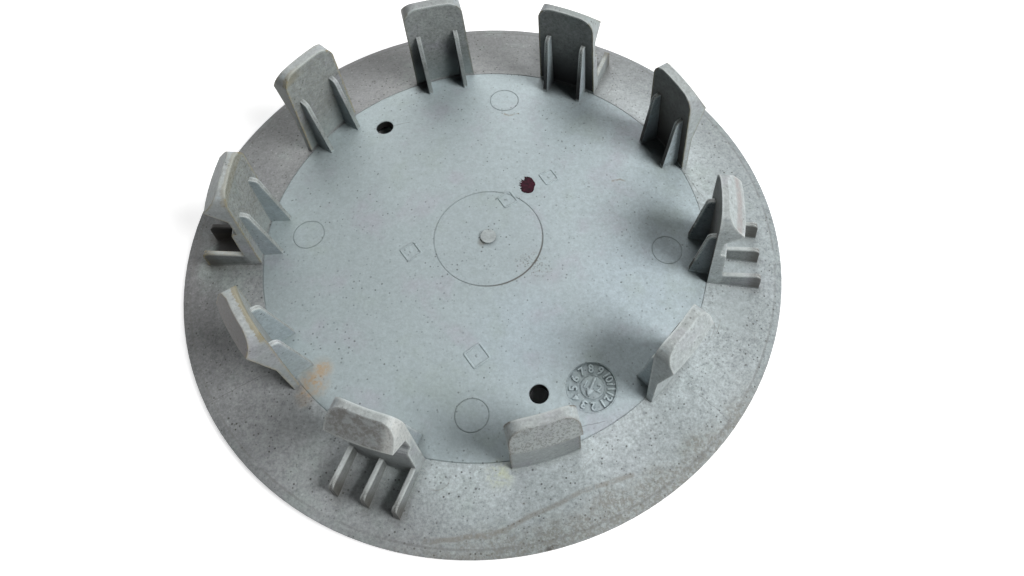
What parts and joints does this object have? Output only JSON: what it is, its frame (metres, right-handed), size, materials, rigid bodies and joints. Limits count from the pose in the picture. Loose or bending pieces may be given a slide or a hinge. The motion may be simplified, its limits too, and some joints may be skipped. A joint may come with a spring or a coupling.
{
  "type": "wheel centre cap",
  "caption": "Domed round wheel centre cap, clips up: a thin plate with a ring of barbed snap clips, guide rails and inner ribs.",
  "frame": {"origin": "centre of the flat land round the front edge, on which the cap lies", "axes": "+Z along the cap's axis, out of the back face towards the clips' tops; +X through the middle of a railed clip"},
  "size_m": [0.156, 0.156, 0.0348],
  "materials": {
    "grey_plastic": "moulded, lightly textured, matt grey"
  },
  "bodies": {
    "root": {"centre_cap": "grey_plastic"}
  },
  "joints": []
}
